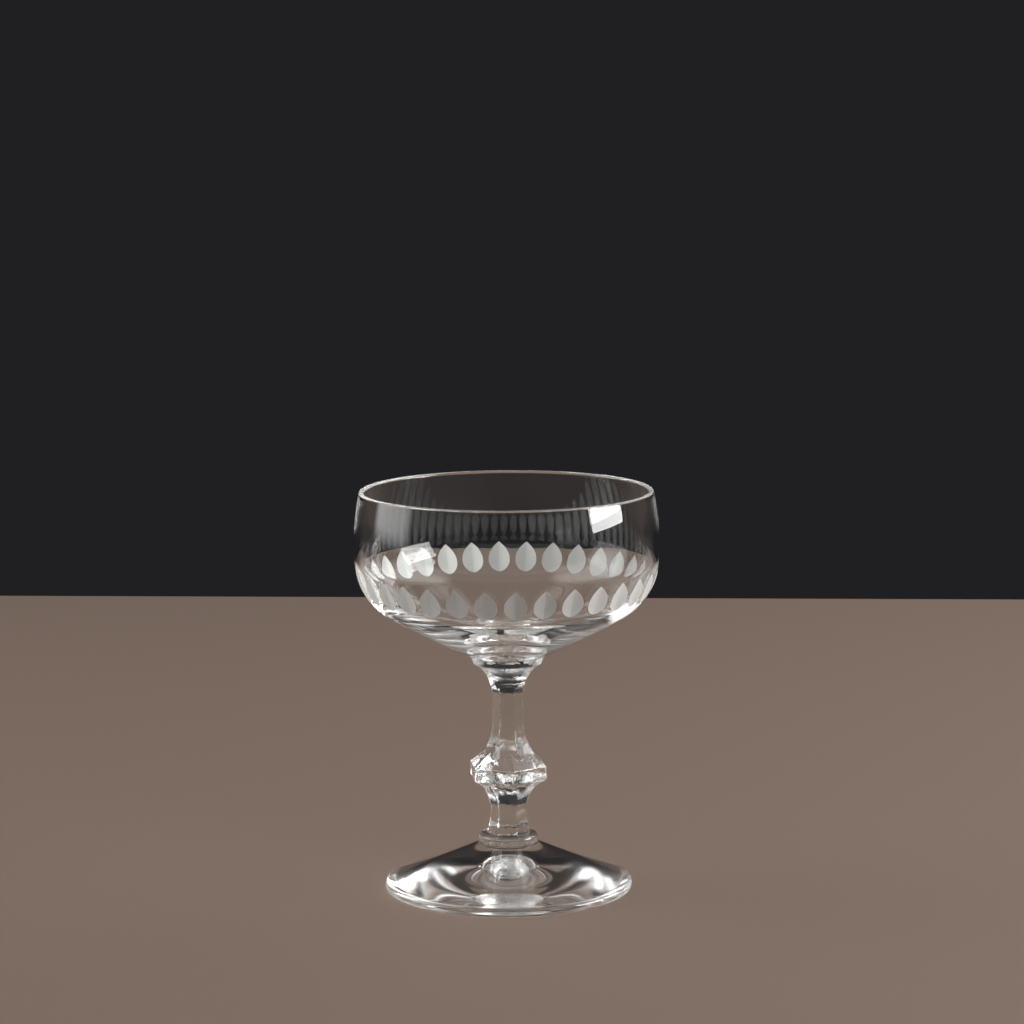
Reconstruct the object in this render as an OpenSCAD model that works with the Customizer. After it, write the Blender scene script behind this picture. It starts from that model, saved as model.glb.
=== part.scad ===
/* [Bowl] */
// Outer diameter of the bowl at its widest
bowl_d = 90.4; // [80:0.2:105]
// Height of the bowl from its weld to the top of the rim
bowl_h = 49.8; // [45:0.1:60]
// Height of the widest point above the weld
belly_h = 33.9; // [31:0.1:37]
// How far the rim stands in from the widest point
rim_inset = 1.6; // [0.8:0.1:3]
// Radius of the curve between the wall and the floor
shoulder_r = 18.6; // [16:0.2:22]
// Radius of the floor's gentle curve, outside and inside
floor_sweep_r = 240; // [200:5:300]
// Outer slope of the floor at the edge of its weld, in degrees
floor_slope = 24.4; // [23:0.2:26]
// Inner slope of the floor above the edge of its weld, in degrees
floor_inner_slope = 21; // [19:0.2:22]
// Glass at the rim
rim_t = 1.5; // [1.2:0.05:1.7]
// Glass at the widest point
belly_t = 1.7; // [1.4:0.05:2]
// Glass at the shoulder
shoulder_t = 2; // [1.7:0.05:2.4]
// Glass above the edge of the floor's weld
floor_t = 5; // [4.4:0.1:6]
// Radius of the round bottom inside
bottom_r = 30; // [24:0.5:36]

/* [Wheel cuts] */
// Number of leaf cuts round the bowl
cut_count = 32; // [24:1:36]
// Turn of the row of cuts about the axis, in degrees
cut_turn = 3.2; // [0:0.1:15]
// Angle of a cut's deepest point below the centre of the shoulder curve, in degrees
cut_drop = 24; // [21:0.5:26]
// Depth of a cut at its deepest
cut_depth = 0.7; // [0.5:0.02:0.76]
// Tilt of each half of a cut, in degrees
cut_tilt = 10; // [9:0.5:14]
// Radius in which a cut runs out at its lower end
wheel_r = 24; // [18:0.5:40]

/* [Bowl collar] */
// Diameter of the disc under the bowl
bowl_collar_d = 22; // [20.5:0.1:25]
// Thickness of the disc
bowl_collar_h = 2.1; // [1.6:0.1:3]
// Draw-in of the disc's edge towards its lower face
bowl_collar_draw = 0.8; // [0.2:0.05:0.9]

/* [Stem] */
// Turn of the six sides of the shank about the axis, in degrees
stem_turn = 54; // [0:1:59]
// Turn of the six sides of the knop about the axis, in degrees
knop_turn = 37; // [0:1:59]
// Diameter of the flared head
head_d = 20; // [18:0.1:20.4]
// Height of the flared head
head_h = 9.3; // [7:0.1:11]
// Radius of the curve in which each side of the shank runs out into the head
runout_r = 5.5; // [4.5:0.1:6]
// Shank, across its flats
shank_flats = 8.1; // [7:0.1:9]
// Straight length of the shank
shank_h = 8.6; // [6:0.1:20]
// Flare from the shank down to the knop
upper_flare_h = 9.6; // [8:0.1:14]
// Upper bevel of the knop
upper_bevel_h = 3.1; // [2:0.1:4]
// Belt of the knop
belt_h = 3.9; // [2.5:0.1:5]
// Lower bevel of the knop
lower_bevel_h = 2.2; // [1.5:0.1:3.5]
// Flare from the knop down to the waist
lower_flare_h = 7.7; // [5:0.1:10]
// Flare from the waist down to the collar
base_flare_h = 7.1; // [5:0.1:10]
// Knop at its belt, across its flats
knop_flats = 21.4; // [19:0.1:24]
// Upper flare where it meets the knop, across its flats
upper_flare_flats = 14; // [12.5:0.1:15]
// Lower flare where it meets the knop, across its flats
lower_flare_flats = 15.4; // [14:0.1:16.5]
// Waist below the knop, across its flats
waist_flats = 9.4; // [8.5:0.1:10.5]
// Foot of the stem, across its flats
base_flats = 11.4; // [10.8:0.1:12]

/* [Foot collar] */
// Diameter of the ring between stem and foot
foot_collar_d = 17.6; // [16.8:0.1:18.4]
// Height of the ring
foot_collar_h = 2.9; // [2.4:0.1:4.5]
// Radius of the ring's rounded upper edge
foot_collar_round = 1.2; // [0.8:0.1:1.4]
// Radius of the ring's rounded lower edge
foot_collar_heel = 0.5; // [0.3:0.1:0.8]

/* [Foot] */
// Diameter of the foot
foot_d = 74; // [65:0.5:85]
// Height of the foot from the table to its weld
foot_h = 14; // [11:0.1:16]
// Thickness of the rounded lip
lip_t = 3.2; // [2.4:0.1:4]
// Diameter of the weld on top of the foot
hub_d = 17.6; // [16.8:0.1:19]
// Width of the small flare from the weld out to the slope
hub_flare_w = 1.1; // [0.8:0.1:2]
// Drop of the small flare from the weld to the slope
hub_flare_h = 0.55; // [0.3:0.05:0.8]
// Radius of the slope's hollow curve
foot_sweep_r = 245; // [150:5:400]
// Width of the ring that stands on the table
rest_w = 2.4; // [1.5:0.1:6]
// Rise of the hollow under the foot
hollow_h = 5.8; // [4:0.1:6.5]
// Radius of the round middle of the hollow
hollow_r = 30; // [20:1:60]

/* [Hidden] */
$fn = 96;
// Steps of a full circle that bounds an outline, and of one hollow curve
circle_steps = 360;
curve_steps = 8;
sides = 6;
// Overrun of every cut past the glass
overrun = 1;
// Radius to a corner, and to the round root of the head, as shares of the width across flats
corner_share = 1 / (2 * cos(180 / sides));
root_share = 0.589;
// Radius that stands clear of all corners of the stem
stock_r = knop_flats * corner_share + overrun;
glass_clear = [0.86, 0.90, 0.89, 0.55];
glass_thick = [0.78, 0.84, 0.83, 0.60];

// Heights of the welds, from the table up
foot_collar_z = foot_h;
stem_z = foot_collar_z + foot_collar_h;
waist_z = stem_z + base_flare_h;
knop_low_z = waist_z + lower_flare_h;
belt_low_z = knop_low_z + lower_bevel_h;
belt_high_z = belt_low_z + belt_h;
knop_high_z = belt_high_z + upper_bevel_h;
shank_low_z = knop_high_z + upper_flare_h;
shank_high_z = shank_low_z + shank_h;
bowl_collar_z = shank_high_z + head_h;
bowl_z = bowl_collar_z + bowl_collar_h;
rim_z = bowl_z + bowl_h;

function unit(v) = v / norm(v);
// Direction at an angle in degrees
function heading(a) = [cos(a), sin(a)];
// Radius of the arc that leaves a line at its tangent and moves aside by d over the length h
function flare_r(h, d) = (h * h + d * d) / (2 * d);
// Points of the hollow curve that leaves p upright and ends at q
function flare(p, q) =
    let (r = flare_r(q.y - p.y, q.x - p.x))
    let (turn = asin(min((q.y - p.y) / r, 1)))
    [for (i = [0 : curve_steps]) p + r * [1 - cos(turn * i / curve_steps), sin(turn * i / curve_steps)]];
function reversed(v) = [for (i = [len(v) - 1 : -1 : 0]) v[i]];
// Points of an arc about c, in degrees
function arc(c, r, from, to) =
    [for (a = [0 : curve_steps]) c + r * heading(from + (to - from) * a / curve_steps)];
// Meeting point, on the outer side, of two circles about p and q
function meet(p, rp, q, rq) =
    let (gap = norm(q - p), along = (q - p) / gap)
    let (step = (rp * rp - rq * rq + gap * gap) / (2 * gap))
    let (aside = sqrt(rp * rp - step * step))
    p + along * step + [along.y, -along.x] * aside;

// Outer curves of the bowl: wall, shoulder and floor, each tangent to the next
rim_c_z = rim_z - rim_t / 2;
belly_z = bowl_z + belly_h;
rim_rise = rim_c_z - belly_z;
wall_sweep_r = flare_r(rim_rise, rim_inset);
wall_c = [bowl_d / 2 - wall_sweep_r, belly_z];
neck = [bowl_collar_d / 2, bowl_z];
floor_c = neck + floor_sweep_r * heading(90 + floor_slope);
shoulder_c = meet(wall_c, wall_sweep_r - shoulder_r, floor_c, floor_sweep_r - shoulder_r);
wall_end = wall_c + wall_sweep_r * unit(shoulder_c - wall_c);
floor_end = floor_c + floor_sweep_r * unit(shoulder_c - floor_c);
rim_outer = [bowl_d / 2 - rim_inset, rim_c_z];

// Inner curves of the bowl, made in the same way
rim_inner = rim_outer - [rim_t, 0];
inner_belly = bowl_d / 2 - belly_t;
inner_sweep_r = flare_r(rim_rise, inner_belly - rim_inner.x);
inner_wall_c = [inner_belly - inner_sweep_r, belly_z];
inner_shoulder_r = shoulder_r - shoulder_t;
inner_floor_c = neck + [0, floor_t] + floor_sweep_r * heading(90 + floor_inner_slope);
inner_shoulder_c = meet(inner_wall_c, inner_sweep_r - inner_shoulder_r,
                        inner_floor_c, floor_sweep_r - inner_shoulder_r);
inner_wall_end = inner_wall_c + inner_sweep_r * unit(inner_shoulder_c - inner_wall_c);
inner_floor_end = inner_floor_c + floor_sweep_r * unit(inner_shoulder_c - inner_floor_c);
// The round bottom stands on the axis and touches the inner floor
bottom_gap = floor_sweep_r - bottom_r;
bottom_c = [0, inner_floor_c.y - sqrt(bottom_gap * bottom_gap - inner_floor_c.x * inner_floor_c.x)];
bottom_end = inner_floor_c + floor_sweep_r * unit(bottom_c - inner_floor_c);
inner_bottom = bottom_c - [0, bottom_r];

// The cut in the plane through the axis: straight above its deepest point, rounded below it
cut_out = heading(-cut_drop);
cut_mid = shoulder_c + shoulder_r * cut_out;
wheel_c = cut_mid + (wheel_r - cut_depth) * cut_out;
// Length of the leaf above and below its deepest point, and half its width
leaf_upper = sqrt(2 * cut_depth * shoulder_r);
leaf_lower = sqrt(2 * cut_depth / (1 / wheel_r + 1 / shoulder_r));
leaf_w = cut_mid.x * (sqrt(pow(tan(cut_tilt), 2) + 2 * cut_depth / cut_mid.x) - tan(cut_tilt));
// The cutter is drawn a little past the leaf
reach_share = 1.08;
span_share = 1.3;
wheel_half = reach_share * leaf_w;
wheel_span = asin(span_share * leaf_lower / wheel_r);

// Circular segment of radius r that stands on the right of the chord from p to q, and laps over the chord
module arc_cap(p, q, r, lap_share = 1) {
    half = norm(q - p) / 2;
    along = unit(q - p);
    out = [along.y, -along.x];
    sag = r - sqrt(max(r * r - half * half, 0));
    intersection() {
        translate((p + q) / 2 + out * (sag - r)) circle(r, $fn = circle_steps);
        polygon([p - out * lap_share * sag, q - out * lap_share * sag, q + out * 2 * sag, p + out * 2 * sag]);
    }
}

module bowl_outer() {
    polygon([[0, bowl_z], neck, floor_end, wall_end, rim_outer, [0, rim_c_z]]);
    arc_cap(neck, floor_end, floor_sweep_r);
    arc_cap(floor_end, wall_end, shoulder_r);
    arc_cap(wall_end, rim_outer, wall_sweep_r);
}

module bowl_inner() {
    polygon([inner_bottom, bottom_end, inner_floor_end, inner_wall_end, rim_inner, [0, rim_c_z]]);
    arc_cap(inner_bottom, bottom_end, bottom_r);
    arc_cap(bottom_end, inner_floor_end, floor_sweep_r);
    arc_cap(inner_floor_end, inner_wall_end, inner_shoulder_r);
    arc_cap(inner_wall_end, rim_inner, inner_sweep_r);
}

module bowl_section() {
    difference() {
        bowl_outer();
        bowl_inner();
    }
    arc_cap(rim_outer, rim_inner, rim_t / 2, 0);
}

// Section of the cutter, a shallow V
module wheel_section() {
    shed = wheel_half * tan(cut_tilt);
    polygon([
        [wheel_r, 0],
        [wheel_r - shed, wheel_half],
        [wheel_r - shed - overrun, wheel_half],
        [wheel_r - shed - overrun, -wheel_half],
        [wheel_r - shed, -wheel_half]
    ]);
}

// Cutter of one leaf, set against the bowl
module leaf_cutter() {
    translate([wheel_c.x, 0, wheel_c.y])
        rotate([90, 0, 0])
            rotate(180 - cut_drop) {
                rotate_extrude(angle = wheel_span) wheel_section();
                rotate([90, 0, 0]) linear_extrude(span_share * leaf_upper) wheel_section();
            }
}

module bowl() {
    color(glass_clear)
        difference() {
            rotate_extrude() bowl_section();
            for (k = [0 : cut_count - 1])
                rotate(cut_turn + k * 360 / cut_count) leaf_cutter();
        }
}

module bowl_collar() {
    r = bowl_collar_d / 2;
    low = [r - bowl_collar_draw, bowl_collar_z];
    high = [r, bowl_z];
    color(glass_thick)
        rotate_extrude()
            polygon([[0, bowl_collar_z], low, high, [0, bowl_z]]);
}

// Outline of the shank and its flares along the corners, from the base up
module corner_section() {
    waist = [waist_flats * corner_share, waist_z];
    base = [base_flats * corner_share, stem_z];
    knop_low = [lower_flare_flats * corner_share, knop_low_z];
    knop_high = [upper_flare_flats * corner_share, knop_high_z];
    shank_low = [shank_flats * corner_share, shank_low_z];
    shank_high = [shank_flats * corner_share, shank_high_z];
    runout = shank_high + [runout_r, runout_r];
    polygon(concat(
        [[0, stem_z]],
        reversed(flare(waist, base)),
        flare(waist, knop_low),
        reversed(flare(shank_low, knop_high)),
        flare(shank_high, runout),
        [[stock_r, runout.y], [stock_r, bowl_collar_z], [0, bowl_collar_z]]
    ));
}

// Outline of the knop along its corners, with bevels that run on to the axis inside the flares
module knop_section() {
    belt_r = knop_flats * corner_share;
    low_fall = lower_bevel_h * knop_flats / (knop_flats - lower_flare_flats);
    high_rise = upper_bevel_h * knop_flats / (knop_flats - upper_flare_flats);
    polygon([
        [0, belt_low_z - low_fall],
        [belt_r, belt_low_z],
        [belt_r, belt_high_z],
        [0, belt_high_z + high_rise]
    ]);
}

// Round form that trims the head, and stands clear of the corners below it
module head_section() {
    root = [shank_flats * root_share, shank_high_z];
    polygon(concat(
        [[0, stem_z], [stock_r, stem_z], [stock_r, shank_low_z]],
        flare(root, [head_d / 2, bowl_collar_z]),
        [[0, bowl_collar_z]]
    ));
}

module stem() {
    color(glass_thick)
        intersection() {
            rotate_extrude() head_section();
            union() {
                rotate(stem_turn) rotate_extrude($fn = sides) corner_section();
                rotate(knop_turn) rotate_extrude($fn = sides) knop_section();
            }
        }
}

module foot_collar() {
    r = foot_collar_d / 2;
    top_in = [r - foot_collar_round, stem_z];
    top_out = [r, stem_z - foot_collar_round];
    heel_out = [r, foot_collar_z + foot_collar_heel];
    heel_in = [r - foot_collar_heel, foot_collar_z];
    color(glass_thick)
        rotate_extrude() {
            polygon([[0, foot_collar_z], heel_in, heel_out, top_out, top_in, [0, stem_z]]);
            arc_cap(top_out, top_in, foot_collar_round, 0);
            arc_cap(heel_in, heel_out, foot_collar_heel, 0);
        }
}

module foot() {
    lip_r = lip_t / 2;
    lip_c = [foot_d / 2 - lip_r, lip_r];
    lip_low = [lip_c.x, 0];
    hub = [hub_d / 2, foot_collar_z];
    slope_top = hub + [hub_flare_w, -hub_flare_h];
    // The slope's curve touches the lip and passes through the top of the slope
    slope_c = meet(lip_c, foot_sweep_r + lip_r, slope_top, foot_sweep_r);
    lip_turn = atan2(slope_c.y - lip_c.y, slope_c.x - lip_c.x);
    lip_high = lip_c + lip_r * heading(lip_turn);
    top_turn = atan2(slope_top.y - slope_c.y, slope_top.x - slope_c.x);
    // The hollow is a cone that touches its round middle
    rest_in = [lip_c.x - rest_w, 0];
    hollow_c = [0, hollow_h - hollow_r];
    hollow_slope = atan2(rest_in.x, -hollow_c.y) - acos(hollow_r / norm(rest_in - hollow_c));
    color(glass_clear)
        rotate_extrude() {
            polygon(concat(
                arc(hollow_c, hollow_r, 90, 90 - hollow_slope),
                [rest_in, lip_low],
                arc(slope_c, foot_sweep_r, lip_turn - 180, top_turn),
                [hub, [0, foot_collar_z]]
            ));
            arc_cap(lip_low, lip_high, lip_r);
        }
}

bowl();
bowl_collar();
stem();
foot_collar();
foot();
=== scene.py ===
"""Coupe glass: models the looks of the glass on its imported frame."""
import math

import bmesh
import bpy
from bpy.props import FloatProperty, FloatVectorProperty, IntProperty, PointerProperty
from mathutils import Euler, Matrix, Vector


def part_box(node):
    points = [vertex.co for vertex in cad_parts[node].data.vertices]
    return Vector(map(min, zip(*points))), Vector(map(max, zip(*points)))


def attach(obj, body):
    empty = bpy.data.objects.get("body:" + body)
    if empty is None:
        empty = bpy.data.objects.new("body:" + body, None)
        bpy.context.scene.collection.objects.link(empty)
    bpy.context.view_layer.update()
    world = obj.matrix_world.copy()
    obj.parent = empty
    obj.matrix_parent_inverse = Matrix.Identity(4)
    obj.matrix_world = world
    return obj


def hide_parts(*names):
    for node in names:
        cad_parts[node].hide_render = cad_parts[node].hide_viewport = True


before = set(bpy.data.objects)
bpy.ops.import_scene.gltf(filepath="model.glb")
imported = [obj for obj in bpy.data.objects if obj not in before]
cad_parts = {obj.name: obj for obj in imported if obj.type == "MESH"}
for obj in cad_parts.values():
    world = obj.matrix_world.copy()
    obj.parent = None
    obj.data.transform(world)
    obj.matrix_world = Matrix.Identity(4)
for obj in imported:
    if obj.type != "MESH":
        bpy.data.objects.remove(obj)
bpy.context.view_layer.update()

bl_info = {
    "name": "Coupe Glass",
    "version": (1, 0, 0),
    "blender": (4, 5, 0),
    "location": "3D View > Sidebar > Coupe",
    "description": "Models a stemmed coupe glass and its stage",
    "category": "Add Mesh",
}

WHITE = (1, 1, 1, 1)

# Places of a weld's material and of the worn hollow's in the list of a piece
WELD_PLACE = 1
WORN_PLACE = 2
# Points closer than this are one point
JOIN = 1e-6
# Side of the plane that is merged into the first vertex of a line
PEN = 0.001
# The faces of a weld lie within this of its height and its edge
NEAR = 20 * JOIN
# Sides of a turned piece and of the form that trims the head of the stem
TURNED_SIDES = 408
HEAD_SIDES = 240
HEX = 6
# Radius to a corner of a hexagon, as a share of its width across the flats
CORNER_SHARE = 1 / (2 * math.cos(math.pi / HEX))
# Steps round each moulded corner of the stem
CORNER_STEPS = 6
# Radius of the block for the head and of the form that trims it, as shares of the belt's radius
BLOCK_SHARE = 2
FORM_SHARE = 1.5
# How far the bevels of the knop run on, as a share of their length outside the flares
BEVEL_SHARE = 1.9
# Round root of the head, as a share of the radius to a corner of the shank
ROOT_SHARE = 1.02
# Steps along each half of a leaf and past its tip, and columns on each side of its middle
LEAF_STEPS = 9
TIP_STEPS = 4
LEAF_COLUMNS = 5
# Powers that shape the outline of a leaf towards its tip and its round end
TIP_POWER = 2.4
END_POWER = 1.2
# How far a cutter reaches aside, as a share of half a leaf's width
REACH_SHARE = 1.15
# Rings along the cone under the foot
CONE_STEPS = 20
# The normals of the hollow under the foot have a z below this
DOWN = -0.9
# Angles in degrees below which two faces of a piece are shaded as one surface
BOWL_SMOOTH, COLLAR_SMOOTH, STEM_SMOOTH, FOOT_SMOOTH = 6.5, 22, 14, 14
# The floor lies a little below the foot, so that the two don't share a face
FLOOR_GAP = 0.00005
FLOOR_THICKNESS = 0.02
# Light is followed a long way, because it runs on inside the glass
BOUNCES = 128
CLEAR_BOUNCES = 64
# How steeply a soft lamp brightens from its edges inwards
LAMP_EDGE = 8
# Nearest and farthest distances that the camera sees
CAMERA_REACH = (0.01, 20)
# Fineness of the ripple on blown glass per metre, broad and fine, and the share of the fine ripple
RIPPLE_BROAD, RIPPLE_FINE, RIPPLE_SHARE = 90, 330, 0.2
# The same for the skin of pressed glass
SKIN_BROAD, SKIN_FINE, SKIN_SHARE = 260, 1100, 2.0
# Fineness of the wheel's lines along each axis and of the grain between them, and the share of the grain
WHEEL_LINES, WHEEL_GRAIN, GRAIN_SHARE = (5200, 5200, 420), 9000, 0.4
# How much the roughness of the cuts differs from line to line
WHEEL_UNEVEN = 0.2
# Fineness of the bubbles in a seam, and the gain and threshold that set how many show
BUBBLES, BUBBLES_GAIN, BUBBLES_CUT = 900, 1.6, 0.35


def level(node, end):
    """Height of the bottom (0) or the top (1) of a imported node."""
    return round(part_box(node)[end].z, 5)


FOOT_Z = level("foot", 0)
FOOT_COLLAR_Z = level("foot_collar", 0)
STEM_Z = level("stem", 0)
BOWL_COLLAR_Z = level("bowl_collar", 0)
BOWL_Z = level("bowl", 0)
RIM_Z = level("bowl", 1)


def length(label, words, value):
    """A setting in metres."""
    return FloatProperty(name=label, description=words, default=value, unit="LENGTH", precision=5)


def angle(label, words, degrees):
    """A setting that is an angle."""
    return FloatProperty(
        name=label, description=words, default=math.radians(degrees), subtype="ANGLE", unit="ROTATION")


def share(label, words, value):
    """A setting from 0 to 1."""
    return FloatProperty(name=label, description=words, default=value, min=0, max=1, subtype="FACTOR")


def amount(label, words, value):
    """A setting that is a plain number."""
    return FloatProperty(name=label, description=words, default=value)


def colour(label, words, value):
    """A setting that is a colour."""
    return FloatVectorProperty(
        name=label, description=words, default=value, size=3, subtype="COLOR", min=0, max=1)


class BowlSizes(bpy.types.PropertyGroup):
    """Sizes of the bowl."""
    width: length("Width", "Outer diameter at the widest point", 0.0904)
    belly: length("Belly", "Height of the widest point above the weld", 0.0339)
    rim_inset: length("Rim inset", "How far the rim stands in from the widest point", 0.0016)
    shoulder: length("Shoulder", "Radius of the curve between wall and floor", 0.0186)
    floor_sweep: length("Floor sweep", "Radius of the floor's gentle curve, outside and inside", 0.240)
    floor_slope: angle("Floor slope", "Outer slope of the floor at the edge of its weld", 24.4)
    inner_slope: angle("Inner slope", "Inner slope of the floor above the edge of its weld", 21)
    neck: length("Neck", "Diameter of the weld under the bowl", 0.022)
    rim_glass: length("Rim glass", "Thickness of the glass at the rim", 0.0015)
    belly_glass: length("Belly glass", "Thickness of the glass at the widest point", 0.0017)
    shoulder_glass: length("Shoulder glass", "Thickness of the glass at the shoulder", 0.002)
    floor_glass: length("Floor glass", "Height of the glass above the edge of the floor's weld", 0.005)
    bottom: length("Bottom", "Radius of the round bottom inside", 0.030)


class CutSizes(bpy.types.PropertyGroup):
    """Sizes of the wheel cuts."""
    count: IntProperty(name="Count", description="Number of leaf cuts round the bowl", default=32, min=3)
    turn: angle("Turn", "Turn of the row of cuts about the axis", 3.2)
    drop: angle("Drop", "Angle of a leaf's widest point below the centre of the shoulder", 24.1)
    half_width: length("Half width", "Half the width of a leaf", 0.0033)
    upper: length("Upper length", "Length of a leaf from its widest point to its tip", 0.0054)
    lower: length("Lower length", "Length of a leaf from its widest point to its round end", 0.00393)
    tilt: angle("Tilt", "Tilt of each half of a cut", 12.0)
    keel: length("Keel", "Rounding along the middle of a cut", 0.0008)
    overrun: length("Overrun", "How far a cutter stands past the glass", 0.001)


class StemSizes(bpy.types.PropertyGroup):
    """Sizes of the stem, which is measured across its flats."""
    turn: angle("Turn", "Angle of one corner of the shank about the axis", 54)
    knop_turn: angle("Knop turn", "Angle of one corner of the knop about the axis", 37)
    head: length("Head", "Diameter of the flared head", 0.02)
    runout: length("Run-out", "Radius in which each side runs out into the head", 0.0055)
    shank: length("Shank", "Shank across its flats", 0.0081)
    knop: length("Knop", "Belt of the knop across its flats", 0.0214)
    upper_width: length("Upper width", "Upper flare where it meets the knop, across its flats", 0.014)
    lower_width: length("Lower width", "Lower flare where it meets the knop, across its flats", 0.0154)
    waist: length("Waist", "Waist below the knop across its flats", 0.0094)
    base: length("Base", "Foot of the stem across its flats", 0.0114)
    base_flare: length("Base flare", "Height of the flare on the collar", 0.0071)
    lower_flare: length("Lower flare", "Height of the flare under the knop", 0.0077)
    lower_bevel: length("Lower bevel", "Height of the knop's lower bevel", 0.0022)
    belt: length("Belt", "Height of the knop's belt", 0.0039)
    upper_bevel: length("Upper bevel", "Height of the knop's upper bevel", 0.0031)
    upper_flare: length("Upper flare", "Height of the flare over the knop", 0.0096)
    shank_length: length("Shank length", "Straight length of the shank", 0.0086)
    corner_round: length("Corner round", "Softening of the six corners at the base", 0.00028)
    knop_corner_round: length("Knop corner round", "Softening of the knop's six corners", 0.000168)
    edge_round: length("Edge round", "Radius of the knop's moulded edges", 0.0004)


class FootSizes(bpy.types.PropertyGroup):
    """Sizes of the collars and the foot."""
    disc_draw: length("Disc draw", "Draw-in of the upper disc towards its lower face", 0.0008)
    disc_round: length("Disc round", "Radius of the upper disc's lower edge", 0.00018)
    collar: length("Collar", "Diameter of the ring between stem and foot", 0.0176)
    collar_round: length("Collar round", "Radius of the ring's upper edge", 0.0012)
    collar_heel: length("Collar heel", "Radius of the ring's lower edge", 0.0005)
    width: length("Width", "Diameter of the foot", 0.074)
    lip: length("Lip", "Thickness of the rounded lip", 0.0032)
    hub: length("Hub", "Diameter of the weld on top of the foot", 0.0176)
    hub_flare: length("Hub flare", "Width of the small flare below the weld", 0.0005)
    hub_drop: length("Hub drop", "Drop of the small flare below the weld", 0.0003)
    hub_round: length("Hub round", "Rounding between the small flare and the slope", 0.0003)
    sweep: length("Sweep", "Radius of the slope's hollow curve", 0.245)
    rest: length("Rest", "Width of the ring that stands on the table", 0.0024)
    hollow: length("Hollow", "Rise of the hollow under the foot", 0.0058)
    hollow_round: length("Hollow round", "Radius of the round middle of the hollow", 0.030)
    rest_round: length("Rest round", "Rounding between the hollow and the ring", 0.0012)


class GlassLook(bpy.types.PropertyGroup):
    """Colours and finish of the glass."""
    tint: colour("Tint", "Colour that the glass passes", (0.985, 0.995, 0.990))
    shade: colour("Shade", "Light that a face of the glass lets through to the table", (0.86, 0.87, 0.86))
    bend: amount("Index", "Refractive index of the glass", 1.52)
    frost: colour("Frost", "Colour of the cuts", (0.64, 0.63, 0.615))
    frost_rough: share("Frost roughness", "Roughness of the ground cuts", 0.8)
    frost_clear: share("Frost clearness", "Share of light that the ground cuts pass", 0.35)
    wear: share("Wear", "Roughness of the worn underside of the foot", 0.075)
    bubbles: colour("Bubbles", "Colour of the fine bubbles in a seam", (0.9, 0.9, 0.9))
    ripple: length("Ripple", "Height of the ripple on blown glass", 0.000012)
    skin: length("Skin", "Height of the uneven skin on pressed glass", 0.00005)
    wheel_lines: length("Wheel lines", "Depth of the wheel's lines in the cuts", 0.00002)


class StageLook(bpy.types.PropertyGroup):
    """Stage, lamps and camera."""
    floor: colour("Floor", "Colour of the floor", (0.195, 0.142, 0.114))
    floor_turn: angle("Floor turn", "Turn of the floor about the axis", -3.5)
    backdrop: colour("Backdrop", "Colour of the room behind the glass", (0.0144, 0.0137, 0.0152))
    ambient: amount("Ambient", "Level of the even light in the room", 0.11)
    floor_size: length("Floor size", "Side of the square floor", 1.02)
    key: amount("Key", "Power of the lamp on the right, in watts", 20)
    fill: amount("Fill", "Power of the lamp on the left, in watts", 7)
    top: amount("Top", "Power of the broad lamp above the camera, in watts", 6)
    left: amount("Left", "Power of the dim lamp at the back on the left, in watts", 9)
    right: amount("Right", "Power of the dim lamp at the back on the right, in watts", 11)
    lamp_near: length("Lamp near", "Distance of the lamps at the sides from the bowl", 1.35)
    lamp_far: length("Lamp far", "Distance of the other lamps from the bowl", 1.4)
    lens: amount("Lens", "Focal length in millimetres", 122.7)
    sensor: amount("Sensor", "Width of the sensor in millimetres", 36)
    camera_back: length("Camera back", "Distance of the camera in front of the axis", 1.020)
    camera_up: length("Camera up", "Height of the camera above the table", 0.2637)
    camera_pitch: angle("Camera pitch", "How far the camera looks down", 8.37)
    camera_yaw: angle("Camera yaw", "How far the camera looks to its left", -0.092)
    camera_roll: angle("Camera roll", "How far the camera leans", -0.37)


class CoupeSettings(bpy.types.PropertyGroup):
    """All sizes and colours of the coupe glass."""
    bowl: PointerProperty(type=BowlSizes)
    cuts: PointerProperty(type=CutSizes)
    stem: PointerProperty(type=StemSizes)
    foot: PointerProperty(type=FootSizes)
    glass: PointerProperty(type=GlassLook)
    stage: PointerProperty(type=StageLook)


# Outlines, drawn as points (distance from the axis, height)


def heading(turn):
    """A step of length 1 in a direction."""
    return Vector((math.cos(turn), math.sin(turn)))


def facing(point, centre):
    """Direction of a point from a centre."""
    return math.atan2(point.y - centre.y, point.x - centre.x)


def flare_radius(rise, aside):
    """Radius of the arc that leaves a line at its tangent and moves aside over a rise."""
    return (rise * rise + aside * aside) / (2 * aside)


def meet(p, p_radius, q, q_radius):
    """Meeting point, on the outer side, of two circles."""
    gap = (q - p).length
    along = (q - p) / gap
    step = (p_radius ** 2 - q_radius ** 2 + gap ** 2) / (2 * gap)
    aside = math.sqrt(p_radius ** 2 - step ** 2)
    return p + along * step + Vector((along.y, -along.x)) * aside


def bend(centre, start, end, steps):
    """Points after start on the arc about centre that ends at end."""
    first = facing(start, centre)
    turn = (facing(end, centre) - first + math.pi) % math.tau - math.pi
    radius = (start - centre).length
    return [centre + radius * heading(first + turn * i / steps) for i in range(1, steps + 1)]


def flare(p, q, steps):
    """Points of the hollow curve that leaves p upright and ends at q, with both ends."""
    radius = flare_radius(q.y - p.y, q.x - p.x)
    turn = math.asin((q.y - p.y) / radius)
    return [
        p + radius * Vector((1 - math.cos(turn * i / steps), math.sin(turn * i / steps)))
        for i in range(steps + 1)
    ]


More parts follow.
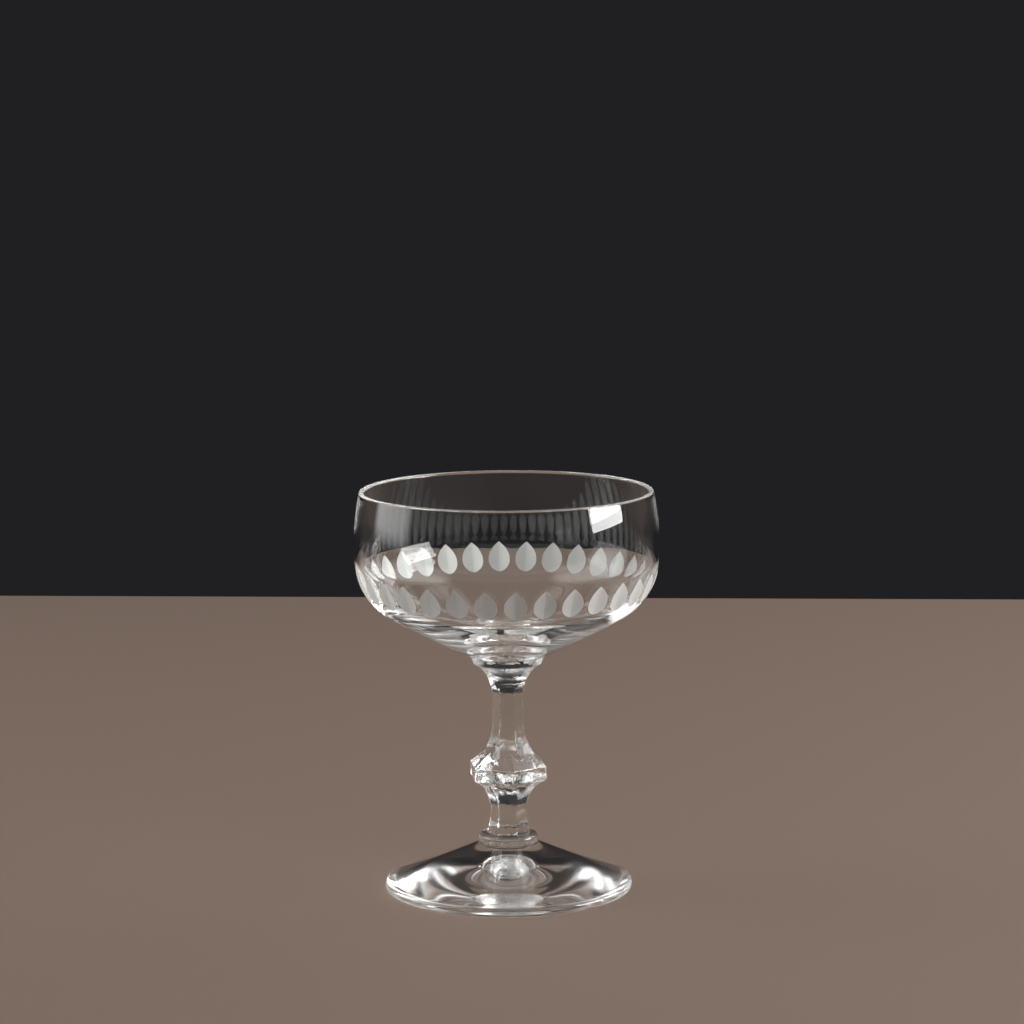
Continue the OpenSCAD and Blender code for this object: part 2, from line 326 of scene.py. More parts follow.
def soften(points, corners, radius, steps):
    """The outline with an arc of that radius at each point in corners."""
    made = []
    for i, here in enumerate(points):
        if i not in corners:
            made.append(here)
            continue
        back = (points[i - 1] - here).normalized()
        ahead = (points[i + 1] - here).normalized()
        half = back.angle(ahead) / 2
        start = here + back * radius / math.tan(half)
        end = here + ahead * radius / math.tan(half)
        centre = here + (back + ahead).normalized() * radius / math.sin(half)
        made += [start] + bend(centre, start, end, steps)
    return made


def bowl_curves(sizes):
    """Key points and centres of the bowl's outer and inner outlines."""
    rim_centre = RIM_Z - sizes.rim_glass / 2
    belly = BOWL_Z + sizes.belly
    rise = rim_centre - belly
    neck = Vector((sizes.neck / 2, BOWL_Z))
    rim_outer = Vector((sizes.width / 2 - sizes.rim_inset, rim_centre))
    rim_inner = rim_outer - Vector((sizes.rim_glass, 0))

    wall_radius = flare_radius(rise, sizes.rim_inset)
    wall = Vector((sizes.width / 2 - wall_radius, belly))
    floor = neck + sizes.floor_sweep * heading(math.pi / 2 + sizes.floor_slope)
    shoulder = meet(wall, wall_radius - sizes.shoulder, floor, sizes.floor_sweep - sizes.shoulder)

    inner_belly = sizes.width / 2 - sizes.belly_glass
    inner_wall_radius = flare_radius(rise, inner_belly - rim_inner.x)
    inner_wall = Vector((inner_belly - inner_wall_radius, belly))
    inner_radius = sizes.shoulder - sizes.shoulder_glass
    inner_neck = neck + Vector((0, sizes.floor_glass))
    inner_floor = inner_neck + sizes.floor_sweep * heading(math.pi / 2 + sizes.inner_slope)
    inner_shoulder = meet(
        inner_wall, inner_wall_radius - inner_radius, inner_floor, sizes.floor_sweep - inner_radius)
    bottom_gap = sizes.floor_sweep - sizes.bottom
    bottom = Vector((0, inner_floor.y - math.sqrt(bottom_gap ** 2 - inner_floor.x ** 2)))

    def touch(centre, radius, towards):
        return centre + radius * (towards - centre).normalized()

    return {
        "neck": neck, "rim_outer": rim_outer, "rim_inner": rim_inner,
        "wall": wall, "floor": floor, "shoulder": shoulder,
        "floor_end": touch(floor, sizes.floor_sweep, shoulder),
        "wall_end": touch(wall, wall_radius, shoulder),
        "inner_wall": inner_wall, "inner_floor": inner_floor, "inner_shoulder": inner_shoulder,
        "inner_wall_end": touch(inner_wall, inner_wall_radius, inner_shoulder),
        "inner_floor_end": touch(inner_floor, sizes.floor_sweep, inner_shoulder),
        "bottom": bottom, "bottom_end": touch(inner_floor, sizes.floor_sweep, bottom),
        "inner_bottom": bottom - Vector((0, sizes.bottom)),
    }


def bowl_outline(sizes):
    """Outline of the bowl, from its weld out, over the rim and in to its bottom."""
    c = bowl_curves(sizes)
    rim = (c["rim_outer"] + c["rim_inner"]) / 2
    top = Vector((rim.x, RIM_Z))
    points = [Vector((0, BOWL_Z)), c["neck"]]
    points += bend(c["floor"], c["neck"], c["floor_end"], steps=14)
    points += bend(c["shoulder"], c["floor_end"], c["wall_end"], steps=44)
    points += bend(c["wall"], c["wall_end"], c["rim_outer"], steps=18)
    points += bend(rim, c["rim_outer"], top, steps=7) + bend(rim, top, c["rim_inner"], steps=7)
    points += bend(c["inner_wall"], c["rim_inner"], c["inner_wall_end"], steps=18)
    points += bend(c["inner_shoulder"], c["inner_wall_end"], c["inner_floor_end"], steps=40)
    points += bend(c["inner_floor"], c["inner_floor_end"], c["bottom_end"], steps=16)
    points += bend(c["bottom"], c["bottom_end"], c["inner_bottom"], steps=14)
    return points


def groove(cuts, aside):
    """Height of a cutter's soft V at a distance from its middle."""
    return math.tan(cuts.tilt) * (math.hypot(aside, cuts.keel) - cuts.keel)


def leaf_path(sizes, cuts):
    """Points that the middle of a cutter follows, from past a leaf's tip to its round end."""
    centre = bowl_curves(sizes)["shoulder"]
    around = centre.x + sizes.shoulder * math.cos(cuts.drop)

    def place(along, depth):
        return centre + (sizes.shoulder - depth) * heading(along / sizes.shoulder - cuts.drop)

    def depth_for(width):
        return groove(cuts, width) + width * width / (2 * around)

    points = []
    for i in range(LEAF_STEPS + TIP_STEPS, 0, -1):
        along = i / LEAF_STEPS
        width = cuts.half_width * (1 - along ** TIP_POWER)
        points.append(place(along * cuts.upper, math.copysign(depth_for(width), width)))
    for i in range(LEAF_STEPS + 1):
        turn = i / LEAF_STEPS * math.pi / 2
        width = cuts.half_width * math.cos(turn) ** END_POWER
        points.append(place(-math.sin(turn) * cuts.lower, depth_for(width)))
    return points + [place(-cuts.lower, -cuts.overrun)]


def leaf_section(cuts):
    """Corners (aside, up) of a cutter's end, a soft V with a flat top, closed at its first corner."""
    reach = REACH_SHARE * cuts.half_width
    edge = groove(cuts, reach)
    asides = [reach * i / LEAF_COLUMNS for i in range(-LEAF_COLUMNS, LEAF_COLUMNS + 1)]
    top = edge + cuts.overrun
    return [(y, groove(cuts, y)) for y in asides] + [(reach, top), (-reach, top), (-reach, edge)]


def stem_levels(sizes):
    """Points on the corner outline of the six-sided stem, by name."""
    widths = [
        ("base", sizes.base, 0), ("waist", sizes.waist, sizes.base_flare),
        ("knop_low", sizes.lower_width, sizes.lower_flare), ("belt_low", sizes.knop, sizes.lower_bevel),
        ("belt_high", sizes.knop, sizes.belt), ("knop_high", sizes.upper_width, sizes.upper_bevel),
        ("shank_low", sizes.shank, sizes.upper_flare), ("shank_high", sizes.shank, sizes.shank_length),
    ]
    levels, z = {}, STEM_Z
    for name, flats, rise in widths:
        z += rise
        levels[name] = Vector((flats * CORNER_SHARE, z))
    return levels


def flipped(points, height):
    """The points turned upside down about a height, in reverse order."""
    return [Vector((p.x, 2 * height - p.y)) for p in reversed(points)]


def flare_down(p, q, steps):
    """The hollow curve that leaves p upright and ends at q below it, from q up."""
    return flipped(flare(p, Vector((q.x, 2 * p.y - q.y)), steps), p.y)


def stem_outline(sizes):
    """Corner outline of the shank and its flares, from the base up into a block for the head."""
    at = stem_levels(sizes)
    block = BLOCK_SHARE * at["belt_low"].x
    runout = at["shank_high"] + Vector((sizes.runout, sizes.runout))
    points = flare_down(at["waist"], at["base"], steps=14)
    points += flare(at["waist"], at["knop_low"], steps=22)[1:]
    points += flare_down(at["shank_low"], at["knop_high"], steps=30)
    points += flare(at["shank_high"], runout, steps=26)
    return points + [Vector((block, runout.y)), Vector((block, BOWL_COLLAR_Z))]


def knop_outline(sizes):
    """Corner outline of the knop, with bevels that run on inside the flares."""
    at = stem_levels(sizes)
    low = at["belt_low"] + (at["knop_low"] - at["belt_low"]) * BEVEL_SHARE
    high = at["belt_high"] + (at["knop_high"] - at["belt_high"]) * BEVEL_SHARE
    return soften([low, at["belt_low"], at["belt_high"], high], {1, 2}, sizes.edge_round, steps=6)


def head_outline(sizes, overrun):
    """Round form that trims the head, and stands clear of the stem below it."""
    at = stem_levels(sizes)
    wide = FORM_SHARE * at["belt_low"].x
    low, high = STEM_Z - overrun, BOWL_COLLAR_Z + overrun
    root = Vector((at["shank_high"].x * ROOT_SHARE, at["shank_high"].y))
    rim = Vector((sizes.head / 2, BOWL_COLLAR_Z))
    points = [Vector((0, low)), Vector((wide, low)), Vector((wide, at["shank_low"].y))]
    points += flare(root, rim, steps=36)
    return points + [Vector((rim.x, high)), Vector((0, high))]


def foot_outline(sizes):
    """Outline of the foot, from the middle of its hollow out, round the lip and up to its weld."""
    lip_radius = sizes.lip / 2
    lip = Vector((sizes.width / 2 - lip_radius, FOOT_Z + lip_radius))
    lip_low = Vector((lip.x, FOOT_Z))
    hub = Vector((sizes.hub / 2, FOOT_COLLAR_Z))
    slope_top = hub + Vector((sizes.hub_flare, -sizes.hub_drop))
    slope = meet(lip, sizes.sweep + lip_radius, slope_top, sizes.sweep)
    lip_high = lip + lip_radius * (slope - lip).normalized()
    # The hollow is a cone that touches its round middle
    rest_in = Vector((lip.x - sizes.rest, FOOT_Z))
    hollow = Vector((0, FOOT_Z + sizes.hollow - sizes.hollow_round))
    reach = (rest_in - hollow).length
    turn = facing(rest_in, hollow) + math.acos(sizes.hollow_round / reach)
    touch = hollow + sizes.hollow_round * heading(turn)
    points = [Vector((0, FOOT_Z + sizes.hollow))]
    points += bend(hollow, points[0], touch, steps=14)
    points += [touch.lerp(rest_in, i / CONE_STEPS) for i in range(1, CONE_STEPS + 1)]
    rest = len(points) - 1
    points += [lip_low]
    points += bend(lip, lip_low, Vector((lip.x + lip_radius, lip.y)), steps=9)
    points += bend(lip, points[-1], lip_high, steps=8)
    points += bend(slope, lip_high, slope_top, steps=24)
    corner = len(points) - 1
    heel = sizes.collar / 2 - sizes.collar_heel
    points += [hub, Vector((heel, FOOT_COLLAR_Z)), Vector((0, FOOT_COLLAR_Z))]
    points = soften(points, {corner}, sizes.hub_round, steps=6)
    return soften(points, {rest}, sizes.rest_round, steps=6)


# Modelling by hand: outlines are drawn, turned, cut and given their materials


def put_away():
    """Leaves edit mode with nothing selected."""
    if bpy.context.mode != "OBJECT":
        bpy.ops.object.mode_set(mode="OBJECT")
    bpy.ops.object.select_all(action="DESELECT")


def take_up(obj):
    """Selects one piece alone, for the next operator."""
    put_away()
    bpy.context.view_layer.objects.active = obj
    obj.select_set(True)


def keep_in_place(name):
    """Names the new primitive and moves its place into its mesh."""
    obj = bpy.context.object
    obj.name = obj.data.name = name
    bpy.ops.object.transform_apply(location=True, rotation=True, scale=True)
    bpy.ops.object.mode_set(mode="EDIT")
    bpy.ops.mesh.select_all(action="SELECT")
    return obj


def upright(point):
    """A point of an outline in the plane through the axis."""
    return Vector((point.x, 0, point.y))


def draw_line(name, points):
    """Draws a line through points, from one vertex on."""
    put_away()
    bpy.ops.mesh.primitive_plane_add(size=PEN, location=points[0])
    obj = keep_in_place(name)
    bpy.ops.mesh.merge(type="CENTER")
    for here, there in zip(points, points[1:]):
        bpy.ops.mesh.extrude_vertices_move(TRANSFORM_OT_translate={"value": there - here})
    return obj


def close_up():
    """Joins what meets and turns all faces outwards."""
    bpy.ops.mesh.select_all(action="SELECT")
    bpy.ops.mesh.remove_doubles(threshold=JOIN)
    bpy.ops.mesh.normals_make_consistent(inside=False)


def turn_outline(name, points, sides=TURNED_SIDES):
    """A turned piece, from its outline."""
    obj = draw_line(name, [upright(point) for point in points])
    modify(obj, "SCREW", angle=math.tau, axis="Z", steps=sides, render_steps=sides,
           use_merge_vertices=True, merge_threshold=JOIN)
    bpy.ops.object.mode_set(mode="EDIT")
    close_up()
    bpy.ops.object.mode_set(mode="OBJECT")
    return obj


def hex_ring(radius, height, turn):
    """Adds a filled six-sided ring."""
    rotation = (0, 0, turn - math.pi / HEX)
    bpy.ops.mesh.primitive_circle_add(
        vertices=HEX, radius=radius, fill_type="NGON", location=(0, 0, height), rotation=rotation)


def soften_corners(radius):
    """Bevels the corners of the selected ring."""
    bpy.ops.mesh.bevel(offset=radius, segments=CORNER_STEPS, profile=0.5, affect="VERTICES")


def hex_turned(name, points, turn, corner_round):
    """A six-sided piece with soft corners, drawn up along its corner outline."""
    put_away()
    hex_ring(points[0].x, points[0].y, turn)
    obj = keep_in_place(name)
    soften_corners(corner_round)
    bpy.ops.mesh.select_mode(type="FACE")
    bpy.ops.mesh.select_all(action="SELECT")
    for here, there in zip(points, points[1:]):
        bpy.ops.mesh.extrude_region_move(TRANSFORM_OT_translate={"value": (0, 0, there.y - here.y)})
        grow = there.x / here.x
        bpy.ops.transform.resize(value=(grow, grow, 1), center_override=(0, 0, there.y))
    close_up()
    bpy.ops.mesh.select_mode(type="VERT")
    bpy.ops.object.mode_set(mode="OBJECT")
    return obj


def modify(obj, kind, **settings):
    """Adds a modifier and applies it."""
    take_up(obj)
    bpy.ops.object.modifier_add(type=kind)
    modifier = obj.modifiers[-1]
    for key, value in settings.items():
        setattr(modifier, key, value)
    bpy.ops.object.modifier_apply(modifier=modifier.name)


def carve(obj, form, operation):
    """Cuts or trims a piece with a form, which is then removed."""
    modify(obj, "BOOLEAN", operation=operation, solver="EXACT", object=form, material_mode="TRANSFER")
    put_away()
    form.select_set(True)
    bpy.ops.object.delete()


def smooth(obj, degrees):
    """Shades faces that meet at less than an angle as one surface."""
    take_up(obj)
    bpy.ops.object.shade_smooth_by_angle(angle=math.radians(degrees))


def give(obj, *looks):
    """Adds materials to the list of a piece."""
    for look in looks:
        obj.data.materials.append(look)


def mark(obj, place, wanted):
    """Gives the faces that are wanted the material at a place in the list of the piece."""
    take_up(obj)
    bpy.ops.object.mode_set(mode="EDIT")
    bpy.ops.mesh.select_all(action="DESELECT")
    faces = [face for face in bmesh.from_edit_mesh(obj.data).faces if wanted(face)]
    if not faces:
        raise RuntimeError(f"{obj.name} has no face for its material {place}")
    for face in faces:
        face.select = True
    bmesh.update_edit_mesh(obj.data)
    obj.active_material_index = place
    bpy.ops.object.material_slot_assign()
    bpy.ops.object.mode_set(mode="OBJECT")


def mark_weld(obj, height, radius):
    """Gives the faces of a weld, within a radius of the axis at a height, its material."""
    def in_weld(face):
        flat = all(abs(v.co.z - height) < NEAR for v in face.verts)
        return flat and all(v.co.xy.length < radius + NEAR for v in face.verts)
    mark(obj, WELD_PLACE, in_weld)


def belongs(obj, node):
    """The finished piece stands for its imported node."""
    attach(obj, "root")
    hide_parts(node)


# Materials


class Wire:
    """A socket of a node; arithmetic on it adds Math nodes."""

    def __init__(self, look, socket):
        self.look, self.socket = look, socket

    def math(self, operation, *values):
        """Adds a Math node."""
        return self.look.node("ShaderNodeMath", {"operation": operation}, dict(enumerate(values)))

    def __add__(self, other):
        return self.math("ADD", self, other)

    def __radd__(self, other):
        return self.math("ADD", other, self)

    def __sub__(self, other):
        return self.math("SUBTRACT", self, other)

    def __rsub__(self, other):
        return self.math("SUBTRACT", other, self)

    def __mul__(self, other):
        return self.math("MULTIPLY", self, other)

    def __rmul__(self, other):
        return self.math("MULTIPLY", other, self)

    def smallest(self, other):
        """The smaller of two values."""
        return self.math("MINIMUM", self, other)


class Look:
    """Nodes of one material, of a lamp or of the world."""

    def __init__(self, holder):
        holder.use_nodes = True
        self.tree = holder.node_tree
        self.tree.nodes.clear()

    def node(self, kind, settings=None, inputs=None, output=0):
        """Adds a node, sets it up, feeds its sockets and returns one of its outputs."""
        made = self.tree.nodes.new(kind)
        for key, value in (settings or {}).items():
            setattr(made, key, value)
        for key, value in (inputs or {}).items():
            if isinstance(value, Wire):
                self.tree.links.new(value.socket, made.inputs[key])
            else:
                made.inputs[key].default_value = value
        return Wire(self, made.outputs[output]) if made.outputs else None

    def stretched(self, scale):
        """Object coordinates, stretched along the axes."""
        place = self.node("ShaderNodeTexCoord", output="Object")
        return self.node("ShaderNodeMapping", inputs={"Vector": place, "Scale": scale})

    def noise(self, scale, vector=None, detail=2.0):
        """Soft noise on Object coordinates, or on others that are given."""
        place = vector or self.node("ShaderNodeTexCoord", output="Object")
        return self.node("ShaderNodeTexNoise", inputs={"Vector": place, "Scale": scale, "Detail": detail})

    def bump(self, height, rise):
        """A normal that follows a height."""
        return self.node("ShaderNodeBump", inputs={"Height": height, "Distance": rise, "Strength": 1.0})

    def surface(self, shader):
        """Ends the material with a shader."""
        self.node("ShaderNodeOutputMaterial", inputs={"Surface": shader})


def once(name, paint):
    """The material of that name, painted the first time that it is asked for."""
    found = bpy.data.materials.get(name)
    if found is None:
        found = bpy.data.materials.new(name)
        paint(Look(found), bpy.context.scene.coupe.glass)
    return found


def rgba(rgb):
    """A colour with full opacity, for a socket."""
    return (*rgb, 1.0)


def lit_through(look, solid, settings):
    """Lets lamps shine through the glass on to what stands behind it."""
    shadow = look.node("ShaderNodeLightPath", output="Is Shadow Ray")
    clear = look.node("ShaderNodeBsdfTransparent", inputs={"Color": rgba(settings.shade)})
    look.surface(look.node("ShaderNodeMixShader", inputs={0: shadow, 1: solid, 2: clear}))


def clear_glass(look, settings, normal, rough=0.0):
    """Clear glass whose surface follows a normal."""
    solid = look.node("ShaderNodeBsdfPrincipled", inputs={
        "Base Color": rgba(settings.tint), "Roughness": rough, "IOR": settings.bend,
        "Transmission Weight": 1.0, "Normal": normal})
    lit_through(look, solid, settings)


def rippled(look, settings):
    """The faint ripple of blown glass, broad with a little that is finer."""
    ripple = look.noise(RIPPLE_BROAD, detail=1.0) + look.noise(RIPPLE_FINE) * RIPPLE_SHARE
    return look.bump(ripple, settings.ripple)


def blown_look():
    """Clear blown glass, as bright as the fire left it."""
    def paint(look, settings):
        clear_glass(look, settings, rippled(look, settings))
    return once("blown_glass", paint)


def worn_look():
    """Blown glass that has lost its shine, under the foot."""
    def paint(look, settings):
        clear_glass(look, settings, rippled(look, settings), settings.wear)
    return once("worn_glass", paint)


def pressed_look():
    """Clear pressed glass, with the uneven skin of its mould."""
    def paint(look, settings):
        skin = look.noise(SKIN_BROAD) + look.noise(SKIN_FINE, detail=1.0) * SKIN_SHARE
        clear_glass(look, settings, look.bump(skin, settings.skin))
    return once("pressed_glass", paint)


def frost_look():
    """Ground glass of the cuts, with the fine lines of the wheel."""
    def paint(look, settings):
        lines = look.noise(1.0, look.stretched(WHEEL_LINES))
        grain = look.noise(WHEEL_GRAIN)
        solid = look.node("ShaderNodeBsdfPrincipled", inputs={
            "Base Color": rgba(settings.frost),
            "Roughness": lines * WHEEL_UNEVEN + (settings.frost_rough - WHEEL_UNEVEN / 2),
            "IOR": settings.bend, "Transmission Weight": settings.frost_clear,
            "Normal": look.bump(lines + grain * GRAIN_SHARE, settings.wheel_lines)})
        lit_through(look, solid, settings)
    return once("ground_cut", paint)


def weld_look():
    """Glass that runs on through a weld, so that the weld doesn't show."""
    def paint(look, settings):
        look.surface(look.node("ShaderNodeBsdfTransparent", inputs={"Color": WHITE}))
    return once("weld", paint)


def seam_look():
    """A weld with fine bubbles in it, which shows as a pale uneven disc from within the piece."""
    def paint(look, settings):
        within = look.node("ShaderNodeNewGeometry", output="Backfacing")
        cloud = (look.noise(BUBBLES, detail=3.0) * BUBBLES_GAIN - BUBBLES_CUT) * within
        clear = look.node("ShaderNodeBsdfTransparent", inputs={"Color": WHITE})
        pale = look.node("ShaderNodeBsdfDiffuse", inputs={"Color": rgba(settings.bubbles)})
        look.surface(look.node("ShaderNodeMixShader", inputs={0: cloud, 1: clear, 2: pale}))
    return once("seam", paint)


# Pieces


class COUPE_OT_bowl(bpy.types.Operator):
    """Turn the bowl and cut the row of leaves into it"""
    bl_idname = "coupe.bowl"
    bl_label = "Bowl"

    def execute(self, context):
        settings = context.scene.coupe
        sizes, cuts = settings.bowl, settings.cuts
        bowl = turn_outline("bowl_glass", bowl_outline(sizes))
        give(bowl, blown_look(), seam_look(), frost_look())
        carve(bowl, self.cutters(sizes, cuts), "DIFFERENCE")
        mark_weld(bowl, BOWL_Z, sizes.neck / 2)
        smooth(bowl, BOWL_SMOOTH)
        belongs(bowl, "bowl")
        return {"FINISHED"}

    def cutters(self, sizes, cuts):
        """One leaf's cutter, its soft V drawn out along the leaf, and its copies round the bowl."""
        path = [upright(point) for point in leaf_path(sizes, cuts)]
        out = upright(heading(-cuts.drop))
        corners = [path[0] + out * up + Vector((0, y, 0)) for y, up in leaf_section(cuts)]
        wheel = draw_line("cutter", corners)
        bpy.ops.mesh.select_all(action="SELECT")
        bpy.ops.mesh.remove_doubles(threshold=JOIN)
        bpy.ops.mesh.select_all(action="SELECT")
        bpy.ops.mesh.edge_face_add()
        for here, there in zip(path, path[1:]):
            bpy.ops.mesh.extrude_region_move(TRANSFORM_OT_translate={"value": there - here})
        close_up()
        bpy.ops.object.mode_set(mode="OBJECT")
        give(wheel, frost_look())

        made = [wheel]
        for i in range(1, cuts.count):
            copy = wheel.copy()
            copy.data = wheel.data.copy()
            bpy.context.scene.collection.objects.link(copy)
            copy.rotation_euler.z = cuts.turn + i * math.tau / cuts.count
            made.append(copy)
        wheel.rotation_euler.z = cuts.turn
        put_away()
        for obj in made:
            obj.select_set(True)
        bpy.context.view_layer.objects.active = wheel
        bpy.ops.object.transform_apply(location=True, rotation=True, scale=True)
        bpy.ops.object.join()
        return wheel


class COUPE_OT_bowl_collar(bpy.types.Operator):
    """Turn the disc between the bowl and the stem"""
    bl_idname = "coupe.bowl_collar"
    bl_label = "Bowl collar"

    def execute(self, context):
        settings = context.scene.coupe
        radius, head = settings.bowl.neck / 2, settings.stem.head / 2
        low = radius - settings.foot.disc_draw
        points = [Vector((0, BOWL_COLLAR_Z)), Vector((head, BOWL_COLLAR_Z)), Vector((low, BOWL_COLLAR_Z)),
                  Vector((radius, BOWL_Z)), Vector((0, BOWL_Z))]
        points = soften(points, {2}, settings.foot.disc_round, steps=5)
        collar = turn_outline("bowl_collar_glass", points)
        give(collar, pressed_look(), weld_look())
        mark_weld(collar, BOWL_COLLAR_Z, head)
        mark_weld(collar, BOWL_Z, radius)
        smooth(collar, COLLAR_SMOOTH)
        belongs(collar, "bowl_collar")
        return {"FINISHED"}


class COUPE_OT_stem(bpy.types.Operator):
    """Draw the six-sided stem up from its base and trim its round head"""
    bl_idname = "coupe.stem"
    bl_label = "Stem"

    def execute(self, context):
        settings = context.scene.coupe
        sizes = settings.stem
        stem = hex_turned("stem_glass", stem_outline(sizes), sizes.turn, sizes.corner_round)
        knop = hex_turned("knop_form", knop_outline(sizes), sizes.knop_turn, sizes.knop_corner_round)
        give(stem, pressed_look(), weld_look())
        give(knop, pressed_look())
        carve(stem, knop, "UNION")
        form = turn_outline("head_form", head_outline(sizes, settings.cuts.overrun), HEAD_SIDES)
        give(form, pressed_look())
        carve(stem, form, "INTERSECT")
        mark_weld(stem, BOWL_COLLAR_Z, sizes.head / 2)
        mark_weld(stem, STEM_Z, sizes.head / 2)
        smooth(stem, STEM_SMOOTH)
        modify(stem, "WEIGHTED_NORMAL", mode="FACE_AREA", keep_sharp=True)
        belongs(stem, "stem")
        return {"FINISHED"}


class COUPE_OT_foot_collar(bpy.types.Operator):
    """Turn the ring between the stem and the foot"""
    bl_idname = "coupe.foot_collar"
    bl_label = "Foot collar"

    def execute(self, context):
        settings = context.scene.coupe
        sizes, stem = settings.foot, settings.stem
        radius = sizes.collar / 2
        top_in = Vector((radius - sizes.collar_round, STEM_Z))
        top_out = Vector((radius, STEM_Z - sizes.collar_round))
        heel_out = Vector((radius, FOOT_COLLAR_Z + sizes.collar_heel))
        heel_in = Vector((radius - sizes.collar_heel, FOOT_COLLAR_Z))
        points = [top_in] + bend(Vector((top_in.x, top_out.y)), top_in, top_out, steps=12)
        points += [heel_out] + bend(Vector((heel_in.x, heel_out.y)), heel_out, heel_in, steps=8)
        points.append(Vector((0, FOOT_COLLAR_Z)))
        collar = turn_outline("foot_collar_glass", points)
        # The flat top is bridged to the six-sided outline of the stem that stands on it
        bpy.ops.object.mode_set(mode="EDIT")
        bpy.ops.mesh.select_all(action="DESELECT")
        base = stem_levels(stem)["base"]
        hex_ring(base.x, base.y, stem.turn)
        soften_corners(stem.corner_round)
        mesh = bmesh.from_edit_mesh(collar.data)
        for face in mesh.faces:
            face.select = False
        for edge in mesh.edges:
            edge.select = all(abs(v.co.z - STEM_Z) < JOIN for v in edge.verts)
        bmesh.update_edit_mesh(collar.data)
        bpy.ops.mesh.bridge_edge_loops()
        close_up()
        bpy.ops.object.mode_set(mode="OBJECT")
        give(collar, pressed_look(), weld_look())
        mark_weld(collar, STEM_Z, base.x)
        mark_weld(collar, FOOT_COLLAR_Z, heel_in.x)
        smooth(collar, COLLAR_SMOOTH)
        belongs(collar, "foot_collar")
        return {"FINISHED"}


class COUPE_OT_foot(bpy.types.Operator):
    """Turn the conical foot"""
    bl_idname = "coupe.foot"
    bl_label = "Foot"

    def execute(self, context):
        sizes = context.scene.coupe.foot
        foot = turn_outline("foot_glass", foot_outline(sizes))
        give(foot, blown_look(), seam_look(), worn_look())
        mark_weld(foot, FOOT_COLLAR_Z, sizes.collar / 2 - sizes.collar_heel)
        mark(foot, WORN_PLACE, self.in_hollow)
        smooth(foot, FOOT_SMOOTH)
        belongs(foot, "foot")
        return {"FINISHED"}

    def in_hollow(self, face):
        """Whether a face is in the hollow underside, above the ring that stands on the table."""
        return face.normal.z < DOWN and face.calc_center_median().z > FOOT_Z + JOIN


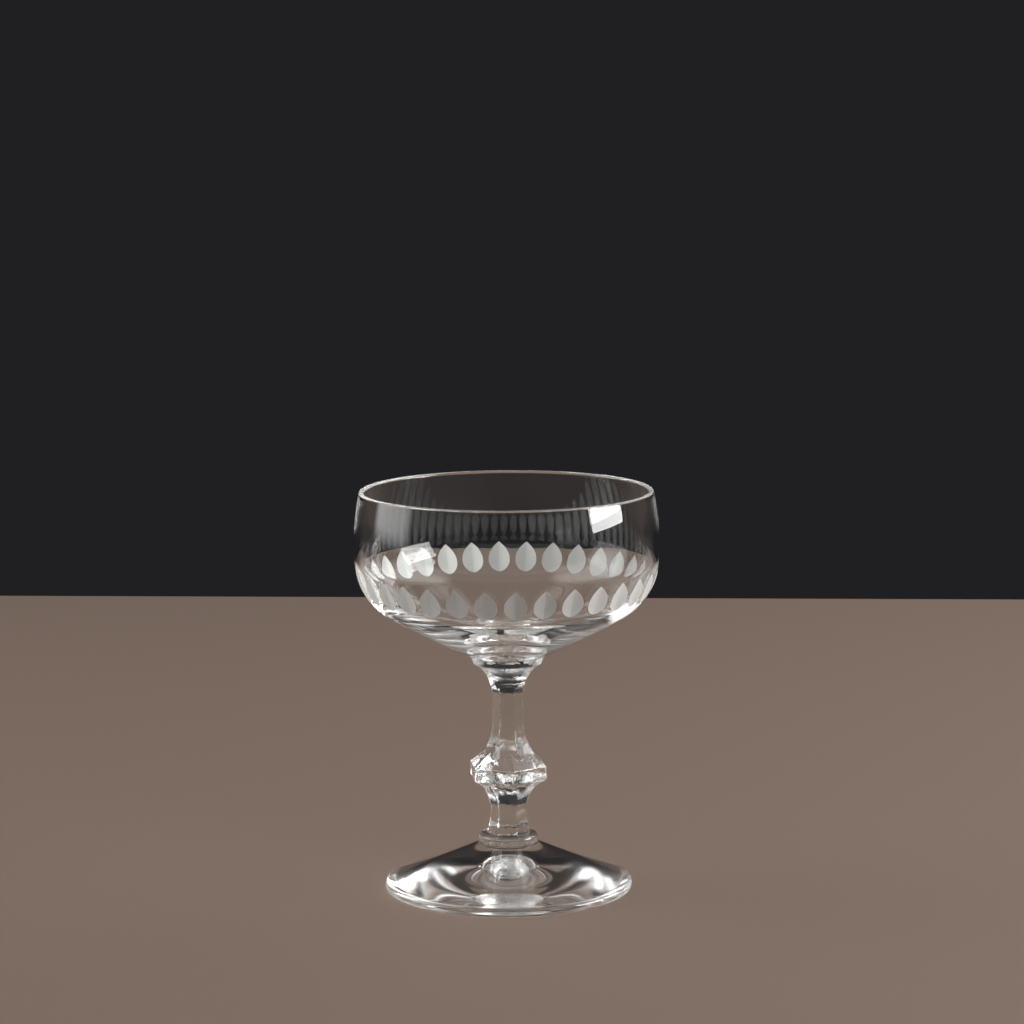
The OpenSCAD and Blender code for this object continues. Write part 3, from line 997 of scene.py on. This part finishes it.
class COUPE_OT_stage(bpy.types.Operator):
    """Set the floor, the room's light, the lamps and the camera"""
    bl_idname = "coupe.stage"
    bl_label = "Stage"

    def execute(self, context):
        settings = context.scene.coupe.stage
        self.floor(settings)
        self.room(context.scene, settings)
        near, far = settings.lamp_near, settings.lamp_far
        self.lamp("key_lamp", settings.key, near, azimuth=82, elevation=17, size=(0.75, 0.62))
        self.lamp("fill_lamp", settings.fill, near, azimuth=-98, elevation=17, size=(1.05, 1.1), soft=True)
        self.lamp("top_lamp", settings.top, far, azimuth=0, elevation=52, size=(2.4, 1.8))
        self.lamp("left_lamp", settings.left, far, azimuth=-104, elevation=44, size=(1.25, 1.4), soft=True)
        self.lamp("right_lamp", settings.right, far, azimuth=113, elevation=38, size=(1.25, 1.4), soft=True)
        self.camera(context.scene, settings)
        context.scene.view_settings.view_transform = "Standard"
        light = context.scene.cycles
        light.max_bounces = light.transmission_bounces = light.glossy_bounces = BOUNCES
        light.transparent_max_bounces = CLEAR_BOUNCES
        return {"FINISHED"}

    def floor(self, settings):
        """A plain floor just below the foot."""
        put_away()
        bpy.ops.mesh.primitive_plane_add(
            size=settings.floor_size, location=(0, 0, -FLOOR_GAP), rotation=(0, 0, settings.floor_turn))
        floor = keep_in_place("floor")
        bpy.ops.mesh.extrude_region_move(TRANSFORM_OT_translate={"value": (0, 0, -FLOOR_THICKNESS)})
        close_up()
        bpy.ops.object.mode_set(mode="OBJECT")
        paint = bpy.data.materials.new("floor_paint")
        look = Look(paint)
        look.surface(look.node("ShaderNodeBsdfPrincipled", inputs={
            "Base Color": rgba(settings.floor), "Roughness": 0.85, "Specular IOR Level": 0.1}))
        give(floor, paint)

    def room(self, scene, settings):
        """A dark room to the eye, with even light on what isn't clear."""
        scene.world = bpy.data.worlds.new("room")
        look = Look(scene.world)
        camera, glossy, passed = [
            look.node("ShaderNodeLightPath", output=f"Is {kind} Ray")
            for kind in ("Camera", "Glossy", "Transmission")
        ]
        seen = (camera + glossy + passed).smallest(1.0)
        dark = look.node("ShaderNodeBackground", inputs={"Color": rgba(settings.backdrop), "Strength": 1.0})
        even = look.node("ShaderNodeBackground", inputs={"Color": WHITE, "Strength": settings.ambient})
        both = look.node("ShaderNodeMixShader", inputs={0: seen, 1: even, 2: dark})
        look.node("ShaderNodeOutputWorld", inputs={"Surface": both})

    def lamp(self, name, power, distance, azimuth, elevation, size, soft=False):
        """A rectangular lamp that faces the bowl, by its angle to the right of the camera's side."""
        put_away()
        turn, lift = math.radians(azimuth), math.radians(elevation)
        aim = Vector((0, 0, BOWL_Z))
        out = Vector((math.sin(turn) * math.cos(lift), -math.cos(turn) * math.cos(lift), math.sin(lift)))
        bpy.ops.object.light_add(type="AREA", location=aim + out * distance)
        lamp = bpy.context.object
        lamp.name = lamp.data.name = name
        lamp.rotation_euler = out.to_track_quat("Z", "Y").to_euler()
        lamp.data.shape = "RECTANGLE"
        lamp.data.size, lamp.data.size_y = size
        lamp.data.energy = power
        if soft:
            look = Look(lamp.data)
            place = look.node("ShaderNodeNewGeometry", output="Parametric")
            across = look.node("ShaderNodeSeparateXYZ", inputs={0: place}, output=0)
            along = look.node("ShaderNodeSeparateXYZ", inputs={0: place}, output=1)
            glow = self.fade(across) * self.fade(along)
            light = look.node("ShaderNodeEmission", inputs={"Color": glow})
            look.node("ShaderNodeOutputLight", inputs={"Surface": light})

    def fade(self, place):
        """Full light in the middle of a lamp, none at both edges."""
        return (place * (1 - place) * LAMP_EDGE).smallest(1)

    def camera(self, scene, settings):
        """The camera in front of the glass."""
        put_away()
        bpy.ops.object.camera_add(location=(0, -settings.camera_back, settings.camera_up))
        camera = bpy.context.object
        camera.name = camera.data.name = "camera"
        roll = Euler((0, 0, settings.camera_roll)).to_matrix()
        look = Euler((math.pi / 2 - settings.camera_pitch, 0, settings.camera_yaw)).to_matrix()
        camera.rotation_euler = (look @ roll).to_euler()
        camera.data.lens = settings.lens
        camera.data.sensor_width = settings.sensor
        camera.data.clip_start, camera.data.clip_end = CAMERA_REACH
        scene.camera = camera


class COUPE_PT_panel(bpy.types.Panel):
    """Lists the pieces of the glass"""
    bl_idname = "COUPE_PT_panel"
    bl_label = "Coupe Glass"
    bl_space_type = "VIEW_3D"
    bl_region_type = "UI"
    bl_category = "Coupe"

    def draw(self, context):
        for operator in OPERATORS:
            self.layout.operator(operator.bl_idname)
        settings = context.scene.coupe
        for group in CoupeSettings.__annotations__:
            values = getattr(settings, group)
            box = self.layout.box()
            for name in values.__annotations__:
                box.prop(values, name)


OPERATORS = (
    COUPE_OT_bowl, COUPE_OT_bowl_collar, COUPE_OT_stem, COUPE_OT_foot_collar, COUPE_OT_foot, COUPE_OT_stage)
GROUPS = (BowlSizes, CutSizes, StemSizes, FootSizes, GlassLook, StageLook, CoupeSettings)
CLASSES = (*GROUPS, *OPERATORS, COUPE_PT_panel)


def register():
    for kind in CLASSES:
        bpy.utils.register_class(kind)
    bpy.types.Scene.coupe = PointerProperty(type=CoupeSettings)


def unregister():
    del bpy.types.Scene.coupe
    for kind in reversed(CLASSES):
        bpy.utils.unregister_class(kind)


def main():
    register()
    bpy.ops.coupe.bowl()
    bpy.ops.coupe.bowl_collar()
    bpy.ops.coupe.stem()
    bpy.ops.coupe.foot_collar()
    bpy.ops.coupe.foot()
    bpy.ops.coupe.stage()


if __name__ == "__main__":
    main()
